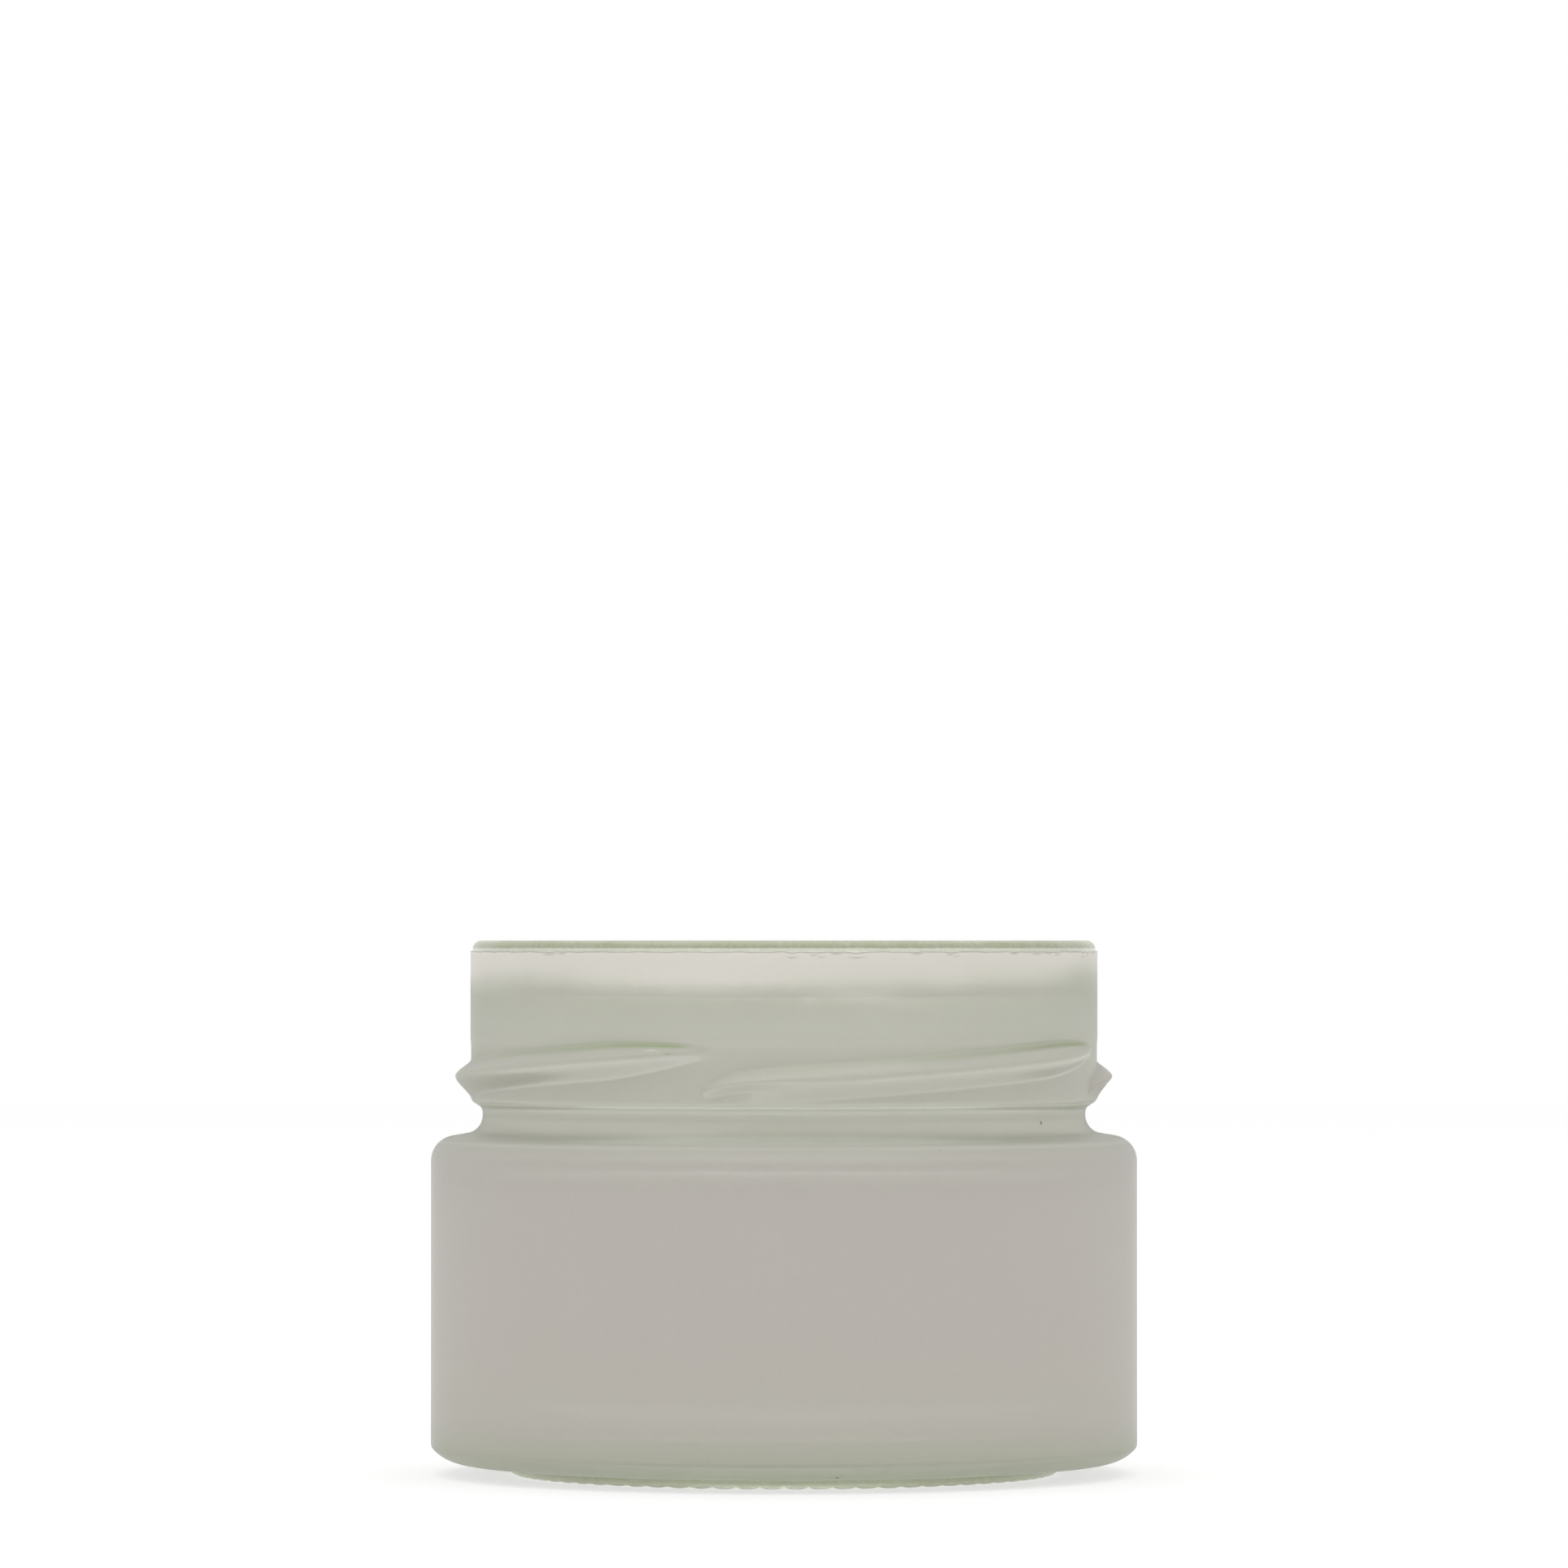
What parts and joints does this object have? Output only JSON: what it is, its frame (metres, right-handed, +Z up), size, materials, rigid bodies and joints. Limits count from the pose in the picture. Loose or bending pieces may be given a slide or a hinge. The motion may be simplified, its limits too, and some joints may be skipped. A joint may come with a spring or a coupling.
{
  "type": "cosmetic cream jar",
  "caption": "Open wide-mouth round glass jar with a matt milky lacquer coat, a clear lip, right-handed twist-off threads, a stepped shoulder and a knurled foot ring.",
  "frame": {"origin": "on the jar's axis, in the plane of the foot's knurled crests that it stands on", "axes": "+Z up along the jar's axis, out of the mouth; -Y towards the viewer's side, where one thread ends just left of the middle"},
  "size_m": [0.0704, 0.0704, 0.0531],
  "materials": {
    "glass": "clear moulded soda-lime glass with a pale green tint",
    "lacquer": "thin sprayed matt lacquer, milky warm grey-white and slightly translucent"
  },
  "bodies": {
    "root": {"glass_jar": "glass", "frost_coat": "lacquer"}
  },
  "joints": []
}
